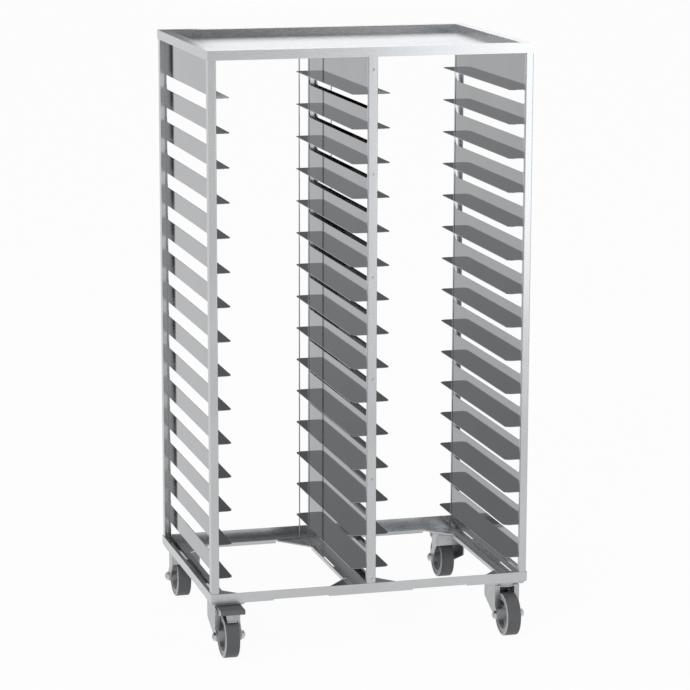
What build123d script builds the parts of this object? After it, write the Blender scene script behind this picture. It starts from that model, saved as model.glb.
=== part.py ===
"""Tray trolley: two columns of lanced ledges in a folded steel frame on four swivel casters.

Millimetres, X to the right, Y to the back, Z up. The origin is on the floor under the middle.
"""
import os

from build123d import *

# Frame
frame_width = 968.0
frame_depth = 690.0
body_height = 1606.0
rail_sheet = 2.0
base_leg_height = 26.5
base_web_width = 60.0
base_lip_depth = 9.3
mid_beam_width = 87.0
gusset_sheet = 4.0
corner_gusset_leg = 186.0
mid_gusset_side = 85.0
mid_gusset_reach = 96.0
lip_clearance = 4.0

# Slots in the base
side_slot_width = 11.0
side_slot_length = 110.0
side_slot_inset = 12.0
side_slot_from_bolt = 16.0
mid_slot_width = 6.0
mid_slot_length = 118.0
mid_slot_inset = 6.5
mid_slot_middles = (0.0, 232.0)

# Uprights
post_sheet = 1.5
post_face = 23.5
post_outer_lip = 27.0
post_inner_leg = 10.5
bend_radius = 2.2
mid_post_face = 28.5
spacer_leg = 15.0
rivet_radius = 2.4
rivet_head_radius = 4.3
rivet_head_height = 1.5
rivet_bore_radius = 1.6
rivet_bore_depth = 5.0
rivet_pitch = 300.0
rivet_below_ledge = 30.0
rivet_above_base = 30.0

# Panels and ledges
panel_sheet = 1.5
panel_lift = 9.0
ledge_pitch = 100.0
lowest_ledge = 71.5
ledge_headroom = 80.0
ledge_width = 45.0
ledge_end_margin = 8.0
ledge_corner = 18.0
ledge_bend = 1.5
window_height = 44.0

# Top
rim_height = 27.5
rim_width = 32.0
rim_inner_height = 23.5
top_sheet_thickness = 1.5

# Stop rods
rod_radius = 2.0
rod_from_tip = 6.75
rod_inset = 38.0

# Casters
swivel_inset_x = 54.0
swivel_inset_y = 49.0
wheel_radius = 64.0
wheel_trail = 36.0
tyre_width = 42.0
tyre_depth = 7.5
tyre_edge = 3.0
hub_barrel_radius = 16.0
hub_web_thickness = 8.0
rim_ring_depth = 12.0
rim_ring_width = 39.0
hub_rib_count = 6
hub_rib_thickness = 4.0
hub_rib_width = 22.0
plate_x = 100.0
plate_y = 90.0
plate_sheet = 4.0
plate_corner = 8.0
plate_boss_radius = 32.0
plate_boss_height = 3.0
bolt_edge = 10.0
bolt_radius = 4.0
bolt_head_radius = 8.0
bolt_head_height = 2.4
king_pin_radius = 6.0
king_head_radius = 11.0
king_head_height = 6.0
race_radius = 31.0
race_bore = 8.0
race_height = 6.0
crown_sheet = 4.0
crown_above_wheel = 18.7
fork_sheet = 3.5
fork_gap = 69.0
fork_front = 26.0
fork_guard = 76.0
fork_guard_height = 56.0
fork_guard_corner = 10.0
fork_wall_inside = 13.0
fork_wall_height = 37.0
crown_margin = 2.0
fork_eye_radius = 15.0
fork_flange = 15.5
fork_flange_above_axle = 20.0
axle_radius = 6.0
axle_flats = 22.0
axle_head_height = 8.0
axle_end = 3.0

# Brakes
pedal_pin_y = 36.0
pedal_pin_drop = 19.2
pedal_pin_radius = 3.0
pedal_pin_head_radius = 4.8
pedal_ear_front = 44.0
pedal_ear_height = 18.0
pedal_width = 72.0
pedal_back = 38.0
pedal_sheet = 2.5
pedal_toe_height = 13.5
cheek_sheet = 2.5
cheek_back = 29.0
cheek_behind_toe = 14.0
cheek_under_pin = 8.0
cheek_front_height = 14.7
shoe_width = 36.0
shoe_foot_width = 28.0
shoe_sheet = 3.0
shoe_drop = 22.0
shoe_pad_depth = 5.0
shoe_pad_height = 4.0

# Clearances
running_gap = 0.05
bolt_gap = 0.2
rod_gap = 0.3
swivel_gap = 0.3
side_gap = 0.5
pedal_gap = 0.4
cut_length = 80.0

# Positions that follow
half_width = frame_width / 2
half_depth = frame_depth / 2
crown_low = 2 * wheel_radius + crown_above_wheel
fork_top = crown_low + crown_sheet
plate_low = fork_top + race_height + swivel_gap + plate_boss_height
gusset_low = plate_low + plate_sheet
base_height = gusset_low + gusset_sheet
base_web_top = base_height + rail_sheet
body_top = base_height + body_height
rail_inside_x = half_width - rail_sheet
rail_inside_y = half_depth - rail_sheet
web_inside_x = half_width - base_web_width
web_inside_y = half_depth - base_web_width
upright_top = body_top - rail_sheet
sheet_low = body_top - rim_inner_height
side_panel_x = rail_inside_x - post_face + post_sheet
mid_panel_x = mid_post_face / 2 - post_sheet
panel_half_depth = rail_inside_y - post_sheet / 2 - bend_radius - running_gap
ledge_length = 2 * (panel_half_depth - ledge_end_margin)
ledge_space = body_height - rim_inner_height - lowest_ledge - ledge_headroom
ledge_count = int(ledge_space / ledge_pitch) + 1
rod_x = mid_panel_x + ledge_width - rod_from_tip
rod_y = rail_inside_y - rod_inset
swivel_x = half_width - swivel_inset_x
swivel_y = half_depth - swivel_inset_y
bolt_half_x = plate_x / 2 - bolt_edge
bolt_half_y = plate_y / 2 - bolt_edge
side_slot_middle = swivel_y - bolt_half_y - side_slot_from_bolt - side_slot_length / 2
fork_outside = fork_gap / 2 + fork_sheet
fork_back = fork_wall_inside + fork_sheet
fork_wall_low = fork_top - fork_wall_height
hub_barrel_length = fork_gap - 2 * side_gap
axle_at = (0.0, -wheel_trail, wheel_radius)
pedal_top = plate_low - bolt_head_height - pedal_gap
pedal_front = wheel_trail + wheel_radius
pedal_pin_z = pedal_top - pedal_pin_drop
cheek_gap = fork_gap - 2 * cheek_sheet - 2 * side_gap
cheek_front = pedal_front - cheek_behind_toe
cheek_low_back = pedal_pin_z - cheek_under_pin
cheek_low_front = pedal_top - pedal_sheet - cheek_front_height
shoe_low = cheek_low_front - shoe_drop


def block(x0, x1, y0, y1, z0, z1):
    """A box between two corners."""
    middle = Pos((x0 + x1) / 2, (y0 + y1) / 2, (z0 + z1) / 2)
    return middle * Box(abs(x1 - x0), abs(y1 - y0), abs(z1 - z0))


def plate(points, z0, z1):
    """A flat plate cut to a plan outline."""
    outline = make_face(Polyline(*points, close=True))
    return Pos(0, 0, z0) * extrude(outline, amount=z1 - z0)


def rod_x_way(radius, x0, x1, y, z):
    """A round bar along X."""
    return Pos((x0 + x1) / 2, y, z) * Rot(0, 90, 0) * Cylinder(radius, abs(x1 - x0))


def rod_up(radius, x, y, z0, z1):
    """A round bar along Z."""
    return Pos(x, y, (z0 + z1) / 2) * Cylinder(radius, abs(z1 - z0))


def hole_up(radius, x, y, z):
    """A round cutter along Z, long enough to pass through any sheet at this height."""
    return rod_up(radius, x, y, z - cut_length / 2, z + cut_length / 2)


def hexagon_x_way(flats, x0, x1, y, z):
    """A hexagon head along X."""
    outline = RegularPolygon(flats / 2, 6, major_radius=False)
    return Pos(x0, y, z) * Rot(0, 90, 0) * extrude(outline, amount=x1 - x0)


def folded(points, thickness, radius, z0, z1):
    """A folded sheet section, drawn along its middle line in plan and drawn up along Z."""
    section = trace(FilletPolyline(*points, radius=radius), line_width=thickness)
    return Pos(0, 0, z0) * extrude(section, amount=z1 - z0, dir=(0, 0, 1))


def mitre(width, depth, strip, z0, z1):
    """The plan of one rail with mitred ends, for the rail along the front."""
    points = [
        (-width / 2, -depth / 2),
        (width / 2, -depth / 2),
        (width / 2 - strip, -depth / 2 + strip),
        (-width / 2 + strip, -depth / 2 + strip),
    ]
    return plate(points, z0, z1)


def all_round(make_rail, name):
    """The four mitred rails of a rectangle, from one function of the length and the depth."""
    front = make_rail(frame_width, frame_depth)
    side = make_rail(frame_depth, frame_width)
    return {
        f"{name}_front": front,
        f"{name}_back": Rot(0, 0, 180) * front,
        f"{name}_right": Rot(0, 0, 90) * side,
        f"{name}_left": Rot(0, 0, -90) * side,
    }


def base_rail(width, depth):
    """Upright leg and web at its foot, mitred, without the lip."""
    face = -depth / 2
    leg = block(-width / 2, width / 2, face, face + rail_sheet, base_height, base_height + base_leg_height)
    web = block(-width / 2, width / 2, face, face + base_web_width, base_height, base_web_top)
    return (leg + web) & mitre(width, depth, base_web_width, base_height, base_height + base_leg_height)


def lip(x0, x1, edge):
    """Lip that hangs from the inner edge of a web, for the rail along the front."""
    return block(x0, x1, edge - rail_sheet, edge, base_height - base_lip_depth, base_height + rail_sheet / 2)


def slot(x, y, width, length):
    """Long hole along Y through a base web."""
    outline = SlotOverall(length, width, rotation=90)
    return Pos(x, y, base_height) * extrude(outline, amount=3 * rail_sheet, both=True)


def bolt_places():
    """Centres of the bolts of all caster plates, with the height of the sheet on top of each."""
    places = []
    for side_x in (-1, 1):
        for side_y in (-1, 1):
            for across in (-1, 1):
                for along in (-1, 1):
                    x = side_x * (swivel_x + across * bolt_half_x)
                    y = side_y * (swivel_y + along * bolt_half_y)
                    on_web = abs(x) > web_inside_x or abs(y) > web_inside_y
                    places.append((x, y, base_web_top if on_web else base_height))
    return places


def bolt_holes(radius):
    """Holes of all caster plate bolts."""
    return [hole_up(radius, x, y, base_height) for x, y, seat in bolt_places()]


def side_slots():
    """Long holes through the side rails and the corner gussets under them."""
    x = half_width - side_slot_inset
    places = [(side * x, end * side_slot_middle) for side in (-1, 1) for end in (-1, 1)]
    return [slot(x, y, side_slot_width, side_slot_length) for x, y in places]


def base_rails():
    """The four base rails, with lips, bolt holes and the slots of the side rails."""
    rails = all_round(base_rail, "base_rail")
    holes = bolt_holes(bolt_radius + bolt_gap) + side_slots()
    lip_end = half_width + half_depth - rail_sheet * 2 - corner_gusset_leg - web_inside_y - lip_clearance
    near = mid_beam_width / 2 + mid_gusset_side + lip_clearance
    for side in (-1, 1):
        hanging = lip(side * near, side * lip_end, -web_inside_y)
        rails["base_rail_front"] += hanging
        rails["base_rail_back"] += Rot(0, 0, 180) * hanging
    side_end = lip_end + web_inside_y - web_inside_x
    side_lip = lip(-side_end, side_end, -web_inside_x)
    rails["base_rail_right"] += Rot(0, 0, 90) * side_lip
    rails["base_rail_left"] += Rot(0, 0, -90) * side_lip
    return {name: rail - holes for name, rail in rails.items()}


def base_mid_beam():
    """Flat beam from the front web to the back web, with hanging lips and long holes."""
    half = mid_beam_width / 2
    lip_end = web_inside_y - mid_gusset_reach - lip_clearance
    beam = block(-half, half, -web_inside_y, web_inside_y, base_height, base_web_top)
    for side in (-1, 1):
        edge = Rot(0, 0, 90) * lip(-lip_end, lip_end, rail_sheet - half)
        beam += edge if side > 0 else Rot(0, 0, 180) * edge
        for y in (-mid_slot_middles[1], mid_slot_middles[0], mid_slot_middles[1]):
            end = min(mid_slot_length / 2, web_inside_y - abs(y) - mid_slot_inset)
            beam -= slot(side * (half - mid_slot_inset), y, mid_slot_width, 2 * end)
    return beam


def corner_gussets():
    """Triangular plates under the base corners, which the casters are bolted to."""
    holes = bolt_holes(bolt_radius + bolt_gap) + side_slots()
    plates = []
    for sx in (-1, 1):
        for sy in (-1, 1):
            corner = (sx * rail_inside_x, sy * rail_inside_y)
            points = [
                corner,
                (corner[0] - sx * corner_gusset_leg, corner[1]),
                (corner[0], corner[1] - sy * corner_gusset_leg),
            ]
            plates.append(plate(points, gusset_low, base_height) - holes)
    return Compound(plates)


def mid_gussets():
    """Plates under both ends of the mid beam, with a sloping edge on each side."""
    half = mid_beam_width / 2
    plates = []
    for sy in (-1, 1):
        points = [
            (-half - mid_gusset_side, sy * rail_inside_y),
            (half + mid_gusset_side, sy * rail_inside_y),
            (half + mid_gusset_side, sy * web_inside_y),
            (half, sy * (web_inside_y - mid_gusset_reach)),
            (-half, sy * (web_inside_y - mid_gusset_reach)),
            (-half - mid_gusset_side, sy * web_inside_y),
        ]
        plates.append(plate(points, gusset_low, base_height))
    return Compound(plates)


def corner_post():
    """Folded corner post at the front left: side lip, front face and a short inner leg."""
    inset = post_sheet / 2
    x0 = -rail_inside_x + inset
    x1 = -rail_inside_x + post_face - inset
    y0 = -rail_inside_y + inset
    points = [
        (x0, -rail_inside_y + post_outer_lip),
        (x0, y0),
        (x1, y0),
        (x1, -rail_inside_y + post_inner_leg),
    ]
    return folded(points, post_sheet, bend_radius, base_web_top, upright_top)


def corner_posts():
    """Four corner posts, mirrored from the front left one."""
    post = corner_post()
    return {
        "post_front_left": post,
        "post_front_right": mirror(post, about=Plane.YZ),
        "post_back_left": mirror(post, about=Plane.XZ),
        "post_back_right": Rot(0, 0, 180) * post,
    }


def rivet_heights():
    """Heights of the rivets of a mid post."""
    top_ledge = lowest_ledge + (ledge_count - 1) * ledge_pitch
    first = top_ledge + ledge_pitch - rivet_below_ledge
    count = int((first - rivet_above_base) / rivet_pitch) + 1
    return [base_height + first - i * rivet_pitch for i in range(count)]


def rivet_holes():
    """Holes of the rivets of the front mid post."""
    radius = rivet_radius + running_gap
    return [
        Pos(0, -rail_inside_y, z) * Rot(90, 0, 0) * Cylinder(radius, cut_length)
        for z in rivet_heights()
    ]


def mid_post():
    """Folded cover over the front edges of the mid panels."""
    inset = post_sheet / 2
    x1 = mid_post_face / 2 - inset
    y0 = -rail_inside_y + inset
    points = [
        (-x1, -rail_inside_y + post_inner_leg),
        (-x1, y0),
        (x1, y0),
        (x1, -rail_inside_y + post_inner_leg),
    ]
    return folded(points, post_sheet, bend_radius, base_web_top, upright_top) - rivet_holes()


def mid_spacer():
    """Folded channel that holds the mid panels apart behind the front mid post."""
    inset = post_sheet / 2
    x1 = mid_panel_x - panel_sheet - inset
    y0 = -rail_inside_y + post_sheet + inset
    points = [(-x1, y0 + spacer_leg), (-x1, y0), (x1, y0), (x1, y0 + spacer_leg)]
    return folded(points, post_sheet, bend_radius, base_web_top, sheet_low) - rivet_holes()


def rivet(z):
    """Blind rivet of the front mid post, with a head outside and the hole that its pin left."""
    face = -rail_inside_y
    back = face + 2 * post_sheet
    shank = Pos(0, (face + back) / 2, z) * Rot(90, 0, 0) * Cylinder(rivet_radius, back - face)
    head = Pos(0, face - rivet_head_height / 2, z) * Rot(90, 0, 0)
    head *= Cone(rivet_head_radius, rivet_head_radius - rivet_head_height, rivet_head_height)
    tail = Pos(0, back + rivet_head_height / 2, z) * Rot(90, 0, 0)
    tail *= Cylinder(rivet_radius + rivet_head_height / 2, rivet_head_height)
    bore = Pos(0, face - rivet_head_height + rivet_bore_depth / 2, z) * Rot(90, 0, 0)
    bore *= Cylinder(rivet_bore_radius, rivet_bore_depth)
    return shank + head + tail - bore


def ledge():
    """One ledge, pointing to +X from a panel face at X 0, top at Z 0; its bend is sharp inside."""
    over = ledge_corner / 2
    points = [
        (-panel_sheet, over),
        (-panel_sheet, -panel_sheet),
        (ledge_width, -panel_sheet),
        (ledge_width, 0),
        (0, 0),
        (0, over),
    ]
    section = make_face(Polyline(*points, close=True))
    outer = section.vertices().sort_by_distance((-panel_sheet, -panel_sheet))[0]
    section = fillet(outer, ledge_bend)
    solid = extrude(Plane.XZ * section, amount=ledge_length / 2, both=True)
    tips = solid.edges().filter_by(Axis.Z).group_by(Axis.X)[-1]
    return fillet(tips, ledge_corner)


def window():
    """Hole that the ledge was bent out of, with rounded lower corners, ledge top at Z 0."""
    top = ledge_corner / 2
    low = -window_height
    outline = Pos(0, (top + low) / 2) * Rectangle(ledge_length, top - low)
    outline = fillet(outline.vertices().group_by(Axis.Y)[0], ledge_corner)
    return extrude(Plane.YZ * outline, amount=2 * panel_sheet, both=True)


def lanced_panel(bottom, top):
    """A panel with its ledges to +X, inner face at X 0."""
    sheet = block(-panel_sheet, 0, -panel_half_depth, panel_half_depth, bottom, top)
    levels = [base_height + lowest_ledge + i * ledge_pitch for i in range(ledge_count)]
    one_window = window()
    one_ledge = ledge()
    sheet = sheet - [Pos(0, 0, z) * one_window for z in levels]
    return sheet + [Pos(0, 0, z) * one_ledge for z in levels]


def stop_rods(radius):
    """Left and right upright rod through the back ends of the mid ledges, or cutters for their holes."""
    return [rod_up(radius, x, rod_y, base_web_top, sheet_low) for x in (-rod_x, rod_x)]


def panels():
    """The four lanced panels: two at the sides, two in the mid wall with holes for the stop rods."""
    left_hole, right_hole = stop_rods(rod_radius + rod_gap)
    side = lanced_panel(base_web_top + panel_lift, upright_top)
    mid = lanced_panel(base_web_top, sheet_low)
    return {
        "side_panel_left": Pos(-side_panel_x, 0, 0) * side,
        "side_panel_right": Pos(side_panel_x, 0, 0) * Rot(0, 0, 180) * side,
        "mid_panel_right": Pos(mid_panel_x, 0, 0) * mid - right_hole,
        "mid_panel_left": Pos(-mid_panel_x, 0, 0) * Rot(0, 0, 180) * mid - left_hole,
    }


def rim_rail(width, depth):
    """Folded rim of the top: outer leg, flat top and a shorter inner leg, mitred."""
    face = -depth / 2
    inner = face + rim_width
    low = body_top - rim_height
    outer_leg = block(-width / 2, width / 2, face, face + rail_sheet, low, body_top)
    flat = block(-width / 2, width / 2, face, inner, body_top - rail_sheet, body_top)
    inner_leg = block(-width / 2, width / 2, inner - rail_sheet, inner, body_top - rim_inner_height, body_top)
    return (outer_leg + flat + inner_leg) & mitre(width, depth, rim_width, low, body_top)


def top_sheet():
    """Closed sheet between the inner legs of the rim."""
    x = half_width - rim_width - running_gap
    y = half_depth - rim_width - running_gap
    return block(-x, x, -y, y, sheet_low, sheet_low + top_sheet_thickness)


def plate_bolts():
    """Flat-headed bolts of the caster plates, screwed up into the base until flush."""
    bolts = []
    for x, y, seat in bolt_places():
        shank = rod_up(bolt_radius, x, y, plate_low, seat)
        head = rod_up(bolt_head_radius, x, y, plate_low - bolt_head_height, plate_low)
        bolts.append(shank + head)
    return Compound(bolts)


def caster_plate():
    """Top plate with a pressed boss for the swivel, around its swivel axis."""
    sheet = block(-plate_x / 2, plate_x / 2, -plate_y / 2, plate_y / 2, plate_low, gusset_low)
    sheet = chamfer(sheet.edges().filter_by(Axis.Z), plate_corner)
    boss = rod_up(plate_boss_radius, 0, 0, plate_low - plate_boss_height, plate_low)
    boss = fillet(boss.edges().group_by(Axis.Z)[0], plate_boss_height / 2)
    body = sheet + boss - hole_up(king_pin_radius + running_gap, 0, 0, plate_low)
    for x in (-bolt_half_x, bolt_half_x):
        for y in (-bolt_half_y, bolt_half_y):
            body -= hole_up(bolt_radius + bolt_gap, x, y, plate_low)
    return body


def king_pin():
    """Pin from the plate down through the fork crown, with its head under the crown."""
    head_top = crown_low - swivel_gap
    shank = rod_up(king_pin_radius, 0, 0, head_top, gusset_low)
    head = rod_up(king_head_radius, 0, 0, head_top - king_head_height, head_top)
    return shank + chamfer(head.edges().group_by(Axis.Z)[0], king_head_height / 4)


def swivel_race():
    """Ball race on the fork crown."""
    ring = rod_up(race_radius, 0, 0, fork_top, fork_top + race_height)
    ring = fillet(ring.edges().group_by(Axis.Z)[-1], race_height / 4)
    return ring - hole_up(race_bore, 0, 0, fork_top)


def leg_outline(back, knee):
    """Outline of a fork leg: eye for the axle, straight front edge, upright back edge above a slope."""
    eye = Pos(-wheel_trail, wheel_radius) * Circle(fork_eye_radius)
    sheet = [(-fork_front, fork_top), (back, fork_top), (back, knee), (-fork_front, wheel_radius)]
    upper = make_face(Polyline(*sheet, close=True))
    lower = make_hull(eye.edges() + make_face(Polyline(*sheet[1:], close=True)).edges())
    return upper + (lower & Pos(0, knee / 2) * Rectangle(4 * fork_guard, knee))


def fork_leg(outline, braked):
    """Leg on the +X side with a turned-in flange along its front edge."""
    leg = Pos(fork_gap / 2, 0, 0) * extrude(Plane.YZ * outline, amount=fork_sheet)
    inner = fork_outside - fork_flange
    flange_back = -fork_front + fork_sheet
    flange_low = wheel_radius + fork_flange_above_axle
    leg += block(inner, fork_outside, -fork_front, flange_back, flange_low, fork_top)
    if braked:
        low = pedal_pin_z - pedal_ear_height / 2
        ear = block(fork_gap / 2, fork_outside, -pedal_ear_front, flange_back, low, low + pedal_ear_height)
        leg += fillet(ear.edges().filter_by(Axis.X).group_by(Axis.Y)[0], pedal_ear_height / 3)
        leg -= rod_x_way(pedal_pin_radius + running_gap, 0, 2 * fork_gap, -pedal_pin_y, pedal_pin_z)
    return leg - rod_x_way(axle_radius + running_gap, 0, 2 * fork_gap, -wheel_trail, wheel_radius)


def fork(braked):
    """Pressed fork: crown, back wall, a plain leg and a leg with a guard beside the wheel."""
    crown = block(-fork_outside, fork_outside, -fork_front, fork_back, crown_low, fork_top)
    crown += rod_up(race_radius + crown_margin, 0, 0, crown_low, fork_top)
    wall = block(-fork_outside, fork_outside, fork_wall_inside, fork_back, fork_wall_low, fork_top)
    plain = fork_leg(leg_outline(fork_back, fork_wall_low), braked)
    guard = leg_outline(fork_guard, fork_top - fork_guard_height)
    guard = fillet(guard.vertices().group_by(Axis.X)[-1], fork_guard_corner)
    guarded = mirror(fork_leg(guard, braked), about=Plane.YZ)
    body = crown + wall + plain + guarded
    return body - hole_up(king_pin_radius + running_gap, 0, 0, fork_top)


def axle(braked):
    """Axle bolt with head and nut; with a brake, the pin of the pedal as well."""
    _, y, z = axle_at
    end = fork_outside + axle_head_height
    shank = rod_x_way(axle_radius, -end - axle_end, end + axle_end, y, z)
    head = hexagon_x_way(axle_flats, -end, -fork_outside, y, z)
    nut = hexagon_x_way(axle_flats, fork_outside, end, y, z)
    pieces = [shank + head + nut]
    if braked:
        reach = fork_outside + pedal_pin_radius
        pin = rod_x_way(pedal_pin_radius, -reach, reach, -pedal_pin_y, pedal_pin_z)
        for side in (-1, 1):
            ends = (side * fork_outside, side * reach)
            pin += rod_x_way(pedal_pin_head_radius, *ends, -pedal_pin_y, pedal_pin_z)
        pieces.append(pin)
    return Compound(pieces)


def ring_x_way(outer, inner, width):
    """A ring on the wheel axis."""
    return Cylinder(outer, width) - Cylinder(inner, 2 * width)


def on_axle(shape):
    """Turn a shape drawn on Z to the wheel axis."""
    return Pos(*axle_at) * Rot(0, 90, 0) * shape


def wheel_hub():
    """Hub: barrel, web with ribs and rim ring."""
    rim_radius = wheel_radius - tyre_depth
    ring = ring_x_way(rim_radius, rim_radius - rim_ring_depth, rim_ring_width)
    web = Cylinder(rim_radius - rim_ring_depth / 2, hub_web_thickness)
    body = ring + web + Cylinder(hub_barrel_radius, hub_barrel_length)
    reach = rim_radius - rim_ring_depth / 2
    for i in range(hub_rib_count):
        rib = Pos(reach / 2, 0, 0) * Box(reach, hub_rib_thickness, hub_rib_width)
        body += Rot(0, 0, i * 360 / hub_rib_count) * rib
    return on_axle(body - Cylinder(axle_radius + running_gap, 2 * hub_barrel_length))


def tyre():
    """Tyre with rounded shoulders."""
    ring = Cylinder(wheel_radius, tyre_width)
    ring = fillet(ring.edges(), tyre_edge)
    return on_axle(ring - Cylinder(wheel_radius - tyre_depth, 2 * tyre_width))


def brake_pedal():
    """Pedal: flat tread plate with a turned-down toe."""
    wide = pedal_width / 2
    flat = block(-wide, wide, -pedal_front, -pedal_back, pedal_top - pedal_sheet, pedal_top)
    toe_low = pedal_top - pedal_toe_height
    toe = block(-wide, wide, -pedal_front, -pedal_front + pedal_sheet, toe_low, pedal_top)
    body = flat + toe
    nose = body.edges().filter_by(Axis.X).sort_by_distance((0, -pedal_front, pedal_top))[0]
    return fillet(nose, pedal_sheet)


def brake_shoe():
    """Bracket under the pedal: two cheeks on the pin, a cross plate and a pad in front of the tread."""
    high = pedal_top - pedal_sheet
    points = [
        (-cheek_back, high),
        (-cheek_front, high),
        (-cheek_front, cheek_low_front),
        (-pedal_pin_y, cheek_low_back),
        (-cheek_back, cheek_low_back),
    ]
    outline = make_face(Polyline(*points, close=True))
    cheek = Pos(cheek_gap / 2, 0, 0) * extrude(Plane.YZ * outline, amount=cheek_sheet)
    cheek -= rod_x_way(pedal_pin_radius + running_gap, 0, cheek_gap, -pedal_pin_y, pedal_pin_z)
    face = -cheek_front
    wide = cheek_gap / 2 + cheek_sheet
    cross = block(-wide, wide, face, face + shoe_sheet, cheek_low_front, high)
    half = shoe_width / 2
    foot = shoe_foot_width / 2
    points = [(-half, cheek_low_front), (half, cheek_low_front), (foot, shoe_low), (-foot, shoe_low)]
    tongue = make_face(Polyline(*points, close=True))
    tongue = Pos(0, face + shoe_sheet, 0) * extrude(Plane.XZ * tongue, amount=shoe_sheet)
    lip_front = face - shoe_pad_depth + shoe_sheet
    pad = block(-foot, foot, lip_front, face + shoe_sheet, shoe_low, shoe_low + shoe_pad_height)
    return cheek + mirror(cheek, about=Plane.YZ) + cross + tongue + pad


def caster(name, place, braked):
    """All pieces of one caster, placed."""
    pieces = {
        f"caster_plate_{name}": caster_plate(),
        f"king_pin_{name}": king_pin(),
        f"swivel_race_{name}": swivel_race(),
        f"fork_{name}": fork(braked),
        f"axle_{name}": axle(braked),
        f"wheel_hub_{name}": wheel_hub(),
        f"tyre_{name}": tyre(),
    }
    if braked:
        pieces[f"brake_pedal_{name}"] = brake_pedal()
        pieces[f"brake_shoe_{name}"] = brake_shoe()
    return {node: place * piece for node, piece in pieces.items()}


def casters():
    """Four casters; the front ones trail to the front, the back ones to the back."""
    pieces = {}
    pieces |= caster("front_left", Pos(-swivel_x, -swivel_y, 0), True)
    pieces |= caster("front_right", Pos(swivel_x, -swivel_y, 0), False)
    pieces |= caster("back_left", Pos(-swivel_x, swivel_y, 0) * Rot(0, 0, 180), False)
    pieces |= caster("back_right", Pos(swivel_x, swivel_y, 0) * Rot(0, 0, 180), True)
    return pieces


def all_nodes():
    """Every node by name."""
    nodes = {}
    nodes |= base_rails()
    nodes["base_mid_beam"] = base_mid_beam()
    nodes["corner_gussets"] = corner_gussets()
    nodes["mid_gussets"] = mid_gussets()
    nodes |= corner_posts()
    post = mid_post()
    nodes["mid_post_front"] = post
    nodes["mid_post_back"] = Rot(0, 0, 180) * post
    spacer = mid_spacer()
    nodes["mid_spacers"] = Compound([spacer, Rot(0, 0, 180) * spacer])
    rivets = [rivet(z) for z in rivet_heights()]
    nodes["mid_post_rivets"] = Compound(rivets + [Rot(0, 0, 180) * one for one in rivets])
    nodes |= panels()
    nodes |= all_round(rim_rail, "rim_rail")
    nodes["top_sheet"] = top_sheet()
    nodes["stop_rod_left"], nodes["stop_rod_right"] = stop_rods(rod_radius)
    nodes["caster_plate_bolts"] = plate_bolts()
    nodes |= casters()
    return nodes


os.makedirs("parts", exist_ok=True)
for node, shape in all_nodes().items():
    export_step(shape, f"parts/{node}.step")
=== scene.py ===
"""Looks of the tray trolley: stainless steel frame, lanced panels and zinc-plated casters."""
import math

import bpy
import numpy as np
from mathutils import Matrix, Vector

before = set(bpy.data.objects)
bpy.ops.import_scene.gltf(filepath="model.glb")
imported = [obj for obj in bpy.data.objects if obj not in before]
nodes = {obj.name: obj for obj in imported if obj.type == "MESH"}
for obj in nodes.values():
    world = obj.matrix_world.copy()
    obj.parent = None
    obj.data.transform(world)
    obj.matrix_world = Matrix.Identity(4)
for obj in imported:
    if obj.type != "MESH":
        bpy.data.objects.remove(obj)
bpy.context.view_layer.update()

# Middle part of a noise pattern's values, where nearly all of them lie
noise_span = (0.3, 0.7)


def linear(code):
    """Linear colour of an sRGB hex value, with alpha 1."""
    parts = [int(code[i:i + 2], 16) / 255 for i in (1, 3, 5)]
    parts = [c / 12.92 if c <= 0.04045 else ((c + 0.055) / 1.055) ** 2.4 for c in parts]
    return (*parts, 1.0)


def add(tree, kind, links=(), **settings):
    """Adds one node: settings are attributes or input values, links are (input, socket) pairs."""
    node = tree.nodes.new(kind)
    for name, value in settings.items():
        if hasattr(node, name):
            setattr(node, name, value)
        else:
            node.inputs[name.replace("_", " ")].default_value = value
    for target, source in links:
        tree.links.new(source, node.inputs[target])
    return node


def per_mm(size):
    """Texture scale, in cycles per metre, of a pattern with this size in millimetres."""
    return 1000.0 / size


def new_material(name):
    """Empty node material with its output and object coordinates."""
    material = bpy.data.materials.new(name)
    material.use_nodes = True
    tree = material.node_tree
    tree.nodes.clear()
    output = add(tree, "ShaderNodeOutputMaterial")
    place = add(tree, "ShaderNodeTexCoord").outputs["Object"]
    return material, tree, output, place


def patterned_surface(tree, output, patterns, normal, colours, rough, spans=(noise_span, noise_span),
                      **surface):
    """Surface whose colour and roughness follow a mix of two patterns.

    patterns is (first, second, share of the second), colours are dark and light, and rough is low and
    high. spans are the values of the mix over which the colour and the roughness change.
    """
    first, second, share = patterns
    mixed = add(tree, "ShaderNodeMix", [("A", first), ("B", second)], data_type="FLOAT",
                Factor=share).outputs["Result"]
    colour_span, rough_span = spans
    colour = add(tree, "ShaderNodeValToRGB", [("Fac", mixed)])
    for stop, position, code in zip(colour.color_ramp.elements, colour_span, colours):
        stop.position = position
        stop.color = linear(code)
    roughness = add(tree, "ShaderNodeMapRange", [("Value", mixed)], From_Min=rough_span[0],
                    From_Max=rough_span[1], To_Min=rough[0], To_Max=rough[1])
    shader = add(tree, "ShaderNodeBsdfPrincipled",
                 [("Base Color", colour.outputs["Color"]), ("Roughness", roughness.outputs["Result"]),
                  ("Normal", normal)], **surface)
    tree.links.new(shader.outputs["BSDF"], output.inputs["Surface"])


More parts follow.
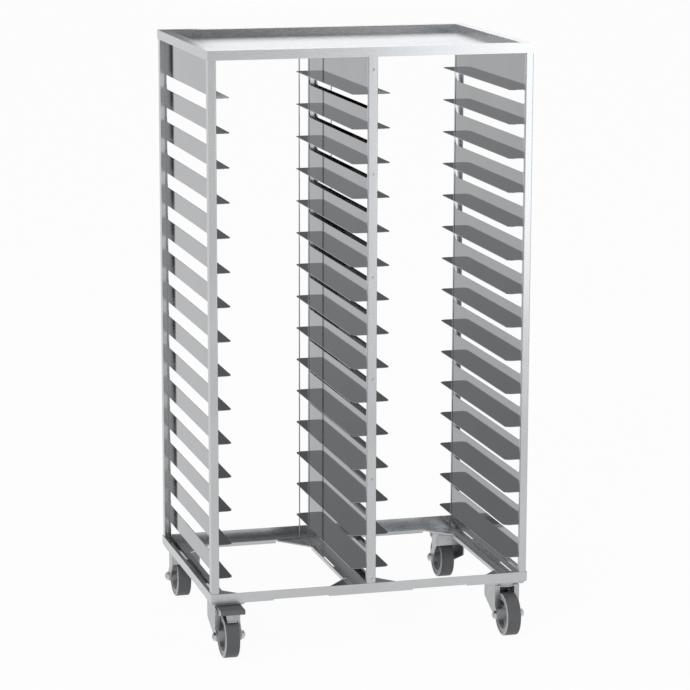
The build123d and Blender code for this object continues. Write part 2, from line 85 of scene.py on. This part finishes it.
def rolled_steel(name, colours, rough, grain, along):
    """Stainless steel sheet: fine rolling or brushing lines, faint clouds and a slow waviness.

    grain is the width in millimetres of a brushed line and along the stretch of the lines on X, Y, Z.
    The lines of the real sheet are far finer than a pixel, so they are drawn coarser.
    """
    cloud_size, wave_size = 260.0, 420.0
    wave_height, line_height = 0.004, 0.0002
    material, tree, output, place = new_material(name)
    stretched = add(tree, "ShaderNodeMapping", [("Vector", place)], Scale=along).outputs["Vector"]
    lines = add(tree, "ShaderNodeTexNoise", [("Vector", stretched)], Scale=per_mm(grain),
                Detail=3.0, Roughness=0.6).outputs["Fac"]
    clouds = add(tree, "ShaderNodeTexNoise", [("Vector", place)], Scale=per_mm(cloud_size), Detail=3.0)
    waves = add(tree, "ShaderNodeTexNoise", [("Vector", place)], Scale=per_mm(wave_size), Detail=1.0)
    wavy = add(tree, "ShaderNodeBump", [("Height", waves.outputs["Fac"])], Strength=0.012,
               Distance=wave_height)
    brushed = add(tree, "ShaderNodeBump", [("Height", lines), ("Normal", wavy.outputs["Normal"])],
                  Strength=0.03, Distance=line_height)
    patterned_surface(tree, output, (lines, clouds.outputs["Fac"], 0.5), brushed.outputs["Normal"], colours,
                      (rough * 0.8, rough * 1.2), Metallic=1.0)
    return material


def zinc_plated(name, colours, rough):
    """Zinc-plated steel: small crystals in the plating and a soft sheen."""
    crystal_size, cloud_size, relief = 5.0, 22.0, 0.0004
    material, tree, output, place = new_material(name)
    crystals = add(tree, "ShaderNodeTexVoronoi", [("Vector", place)], Scale=per_mm(crystal_size))
    clouds = add(tree, "ShaderNodeTexNoise", [("Vector", place)], Scale=per_mm(cloud_size),
                 Detail=4.0).outputs["Fac"]
    bump = add(tree, "ShaderNodeBump", [("Height", clouds)], Strength=0.15, Distance=relief)
    patterned_surface(tree, output, (clouds, crystals.outputs["Distance"], 0.35), bump.outputs["Normal"],
                      colours, (rough * 0.8, rough * 1.25), spans=((0.25, 0.7), (0.0, 1.0)), Metallic=1.0)
    return material


def moulded(name, colours, rough, grit, relief):
    """Moulded plastic or matt paint: fine grit and soft patches of handling wear.

    grit is the size of a grain in millimetres and relief its height in metres.
    """
    patch_size = 35.0
    material, tree, output, place = new_material(name)
    grain = add(tree, "ShaderNodeTexNoise", [("Vector", place)], Scale=per_mm(grit),
                Detail=2.0).outputs["Fac"]
    patches = add(tree, "ShaderNodeTexNoise", [("Vector", place)], Scale=per_mm(patch_size), Detail=4.0)
    bump = add(tree, "ShaderNodeBump", [("Height", grain)], Strength=0.2, Distance=relief)
    patterned_surface(tree, output, (patches.outputs["Fac"], grain, 0.3), bump.outputs["Normal"], colours,
                      (rough * 0.85, rough * 1.15), IOR=1.5)
    return material


def two_tone_rubber_with_painted_light(name, tread, side, rough):
    """Rubber with fine grit: a darker tread, and paler side walls that face along the axle.

    The side walls' paler colour is partly the rubber's own and partly painted light, set paler to stand in
    for light they lack. The tread's colour ends and the side wall's is full at these X values of the
    surface's direction.
    """
    grit, patch_size, relief = 1.2, 30.0, 0.0002
    tread_facing, side_facing = 0.6, 0.9
    dull, fresh = 0.92, 1.08
    material, tree, output, place = new_material(name)
    grain = add(tree, "ShaderNodeTexNoise", [("Vector", place)], Scale=per_mm(grit), Detail=2.0)
    patches = add(tree, "ShaderNodeTexNoise", [("Vector", place)], Scale=per_mm(patch_size), Detail=4.0)
    facing = add(tree, "ShaderNodeTexCoord").outputs["Normal"]
    across = add(tree, "ShaderNodeSeparateXYZ", [("Vector", facing)]).outputs["X"]
    across = add(tree, "ShaderNodeMath", [(0, across)], operation="ABSOLUTE").outputs["Value"]
    # Side walls get the paler colour, partly painted light standing in for light they lack
    wall = add(tree, "ShaderNodeMapRange", [("Value", across)], From_Min=tread_facing, From_Max=side_facing)
    colour = add(tree, "ShaderNodeMix", [("Factor", wall.outputs["Result"])], data_type="RGBA")
    colour.inputs["A"].default_value = linear(tread)
    colour.inputs["B"].default_value = linear(side)
    worn = add(tree, "ShaderNodeMapRange", [("Value", patches.outputs["Fac"])], From_Min=noise_span[0],
               From_Max=noise_span[1], To_Min=dull, To_Max=fresh)
    colour = add(tree, "ShaderNodeHueSaturation",
                 [("Color", colour.outputs["Result"]), ("Value", worn.outputs["Result"])])
    bump = add(tree, "ShaderNodeBump", [("Height", grain.outputs["Fac"])], Strength=0.2, Distance=relief)
    shader = add(tree, "ShaderNodeBsdfPrincipled",
                 [("Base Color", colour.outputs["Color"]), ("Normal", bump.outputs["Normal"])],
                 Roughness=rough, IOR=1.5)
    tree.links.new(shader.outputs["BSDF"], output.inputs["Surface"])
    return material


# Satin stainless steel of the folded rails and posts: soft light bands, with the lines along each piece
satin, satin_rough, satin_grain = ("#b2b4b6", "#c4c6c8"), 0.26, 1.2
frame_steel = rolled_steel("satin_stainless_steel_frame", satin, satin_rough, satin_grain, (1.0, 1.0, 0.03))
rail_steel = rolled_steel("satin_stainless_steel_rails", satin, satin_rough, satin_grain, (0.03, 1.0, 1.0))
side_rail_steel = rolled_steel("satin_stainless_steel_side_rails", satin, satin_rough, satin_grain,
                               (1.0, 0.03, 1.0))
# Bright cold-rolled stainless steel of the panels: nearly a mirror
panel_steel = rolled_steel("bright_cold_rolled_stainless_steel", ("#85878a", "#909295"), 0.06, 1.6,
                           (1.0, 0.04, 1.0))
# Drawn stainless steel of the stop rods: a narrow bright streak along each rod
rod_steel = rolled_steel("drawn_stainless_steel_rod", ("#b0b2b4", "#c0c2c4"), 0.2, 0.8, (1.0, 1.0, 0.05))
# Zinc plating on the pressed forks and plates: a dull grey with a fine spangle
caster_zinc = zinc_plated("zinc_plated_pressed_steel", ("#9c9ea0", "#b6b8ba"), 0.3)
# Brighter zinc plating on bolts, rivets and axles: small clear highlights
fastener_steel = zinc_plated("bright_zinc_fasteners", ("#b4b5b7", "#cacbcd"), 0.24)
# Non-marking rubber of the tyres: matt, dark on the tread and pale on the side walls; the pale side walls
# are partly painted light
tyre_rubber = two_tone_rubber_with_painted_light("grey_non_marking_rubber", "#595a5c", "#cbccce", 0.5)
# Moulded polypropylene of the hubs: a soft sheen
hub_plastic = moulded("light_grey_polypropylene", ("#9a9b9d", "#a9aaac"), 0.45, 1.5, 0.0001)
# Powder coat of the pedals: matt, with a fine texture
pedal_paint = moulded("grey_powder_coat", ("#5a5b5d", "#68696b"), 0.5, 1.0, 0.0002)


def material_of(node):
    """The finish of a CAD node, from its name."""
    table = [
        (("tyre",), tyre_rubber),
        (("wheel_hub",), hub_plastic),
        (("brake_pedal",), pedal_paint),
        (("caster_plate_bolts", "axle", "king_pin", "mid_post_rivets"), fastener_steel),
        (("caster_plate", "swivel_race", "fork", "brake_shoe"), caster_zinc),
        (("side_panel", "mid_panel"), panel_steel),
        (("stop_rod",), rod_steel),
        (("rim_rail_left", "rim_rail_right", "base_rail_left", "base_rail_right", "base_mid_beam"),
         side_rail_steel),
        (("rim_rail", "base_rail", "top_sheet", "corner_gussets", "mid_gussets"), rail_steel),
    ]
    for starts, material in table:
        if node.startswith(starts):
            return material
    return frame_steel


for name, piece in nodes.items():
    piece.data.materials.clear()
    piece.data.materials.append(material_of(name))


def studio_floor():
    """Pale floor: nearly white to the camera and to reflections, with a faint shadow kept."""
    half_size, white_share = 60.0, 0.95
    fibre_size, darkest, palest = 40.0, 0.88, 0.9
    corners = np.array([(-1, -1, 0), (1, -1, 0), (1, 1, 0), (-1, 1, 0)], float) * half_size
    mesh = bpy.data.meshes.new("floor")
    mesh.from_pydata(corners.tolist(), [], [(0, 1, 2, 3)])
    floor = bpy.data.objects.new("floor", mesh)
    bpy.context.scene.collection.objects.link(floor)
    material, tree, output, place = new_material("white_paper_sweep")
    fibres = add(tree, "ShaderNodeTexNoise", [("Vector", place)], Scale=per_mm(fibre_size))
    tone = add(tree, "ShaderNodeMapRange", [("Value", fibres.outputs["Fac"])], To_Min=darkest, To_Max=palest)
    matt = add(tree, "ShaderNodeBsdfDiffuse", [("Color", tone.outputs["Result"])])
    white = add(tree, "ShaderNodeEmission", Color=(1, 1, 1, 1), Strength=1.0)
    ray = add(tree, "ShaderNodeLightPath")
    seen = add(tree, "ShaderNodeMath",
               [(0, ray.outputs["Is Camera Ray"]), (1, ray.outputs["Is Glossy Ray"])],
               operation="MAXIMUM")
    share = add(tree, "ShaderNodeMapRange", [("Value", seen.outputs["Value"])], To_Max=white_share)
    mix = add(tree, "ShaderNodeMixShader", [("Fac", share.outputs["Result"])])
    tree.links.new(matt.outputs["BSDF"], mix.inputs[1])
    tree.links.new(white.outputs["Emission"], mix.inputs[2])
    tree.links.new(mix.outputs["Shader"], output.inputs["Surface"])
    mesh.materials.append(material)


def height_at(degrees):
    """Z of a unit direction at this elevation."""
    return math.sin(math.radians(degrees))


def studio_world():
    """White for the camera and a softer white as light.

    Reflections see white low down, a band above it that darkens from left to right, and a pale ceiling
    overhead. The elevations where each ends and the next begins are in degrees.
    """
    light_level, ceiling_level = 0.6, 0.8
    white_end, band_start = 0.3, 3.8
    band_end, ceiling_start = 22.0, 48.0
    left_level, right_level = 0.75, 0.17
    left_x, right_x = -0.3, 0.22
    world = bpy.data.worlds.new("studio")
    bpy.context.scene.world = world
    world.use_nodes = True
    tree = world.node_tree
    tree.nodes.clear()
    output = add(tree, "ShaderNodeOutputWorld")
    ray = add(tree, "ShaderNodeLightPath")
    seen = add(tree, "ShaderNodeMath",
               [(0, ray.outputs["Is Camera Ray"]), (1, ray.outputs["Is Transmission Ray"])],
               operation="MAXIMUM")
    plain = add(tree, "ShaderNodeMapRange", [("Value", seen.outputs["Value"])], To_Min=light_level,
                To_Max=1.0)
    way = add(tree, "ShaderNodeTexCoord").outputs["Generated"]
    way = add(tree, "ShaderNodeSeparateXYZ", [("Vector", way)])
    band = add(tree, "ShaderNodeMapRange", [("Value", way.outputs["X"])], interpolation_type="SMOOTHSTEP",
               From_Min=left_x, From_Max=right_x, To_Min=left_level, To_Max=right_level)
    upper = add(tree, "ShaderNodeMapRange",
                [("Value", way.outputs["Z"]), ("To Min", band.outputs["Result"])],
                interpolation_type="SMOOTHSTEP", From_Min=height_at(band_end),
                From_Max=height_at(ceiling_start), To_Max=ceiling_level)
    mirrored = add(tree, "ShaderNodeMapRange",
                   [("Value", way.outputs["Z"]), ("To Max", upper.outputs["Result"])],
                   interpolation_type="SMOOTHSTEP", From_Min=height_at(white_end),
                   From_Max=height_at(band_start), To_Min=1.0)
    strength = add(tree, "ShaderNodeMix",
                   [("Factor", ray.outputs["Is Glossy Ray"]), ("A", plain.outputs["Result"]),
                    ("B", mirrored.outputs["Result"])], data_type="FLOAT")
    light = add(tree, "ShaderNodeBackground", [("Strength", strength.outputs["Result"])], Color=(1, 1, 1, 1))
    tree.links.new(light.outputs["Background"], output.inputs["Surface"])


def soft_box(name, place, target, width, height, level):
    """Area lamp aimed at a point; level is how bright its face is, where 1 is white."""
    lamp = bpy.data.lights.new(name, "AREA")
    lamp.shape = "RECTANGLE"
    lamp.size = width
    lamp.size_y = height
    lamp.energy = level * math.pi * width * height
    holder = bpy.data.objects.new(name, lamp)
    holder.visible_camera = False
    aim = (Vector(target) - Vector(place)).to_track_quat("-Z", "Y").to_matrix().to_4x4()
    holder.matrix_world = Matrix.Translation(place) @ aim
    bpy.context.scene.collection.objects.link(holder)


def photo_camera():
    """Camera at the photo's viewing angle: place in metres, yaw, pitch and roll in degrees.

    The focal length and the picture's width are in pixels.
    """
    focal, picture = 2869.7, 690.0
    place = (-2.2422, -8.1879, 2.5535)
    yaw, pitch, roll = (math.radians(a) for a in (-15.396, -11.387, 0.136))
    ahead = Vector((-math.sin(yaw) * math.cos(pitch), math.cos(yaw) * math.cos(pitch), math.sin(pitch)))
    side = Vector((math.cos(yaw), math.sin(yaw), 0.0))
    up = side.cross(ahead)
    right = side * math.cos(roll) + up * math.sin(roll)
    above = up * math.cos(roll) - side * math.sin(roll)
    data = bpy.data.cameras.new("camera")
    data.sensor_width = 36.0
    data.lens = focal / picture * data.sensor_width
    data.clip_end = 200.0
    camera = bpy.data.objects.new("camera", data)
    turn = Matrix((right, above, -ahead)).transposed().to_4x4()
    camera.matrix_world = Matrix.Translation(place) @ turn
    bpy.context.scene.collection.objects.link(camera)
    bpy.context.scene.camera = camera


studio_floor()
studio_world()
soft_box("key", place=(-3.5, -4.5, 5.0), target=(0, 0, 0.9), width=3.0, height=3.0, level=5.0)
soft_box("right_strip", place=(1.85, -3.9, 1.45), target=(0.3, -0.3, 1.2), width=1.2, height=2.3, level=1.55)
soft_box("back_strip", place=(0.8, 1.9, 2.27), target=(0.5, 0, 1.77), width=1.6, height=0.7, level=1.5)
photo_camera()
bpy.context.scene.view_settings.view_transform = "Standard"
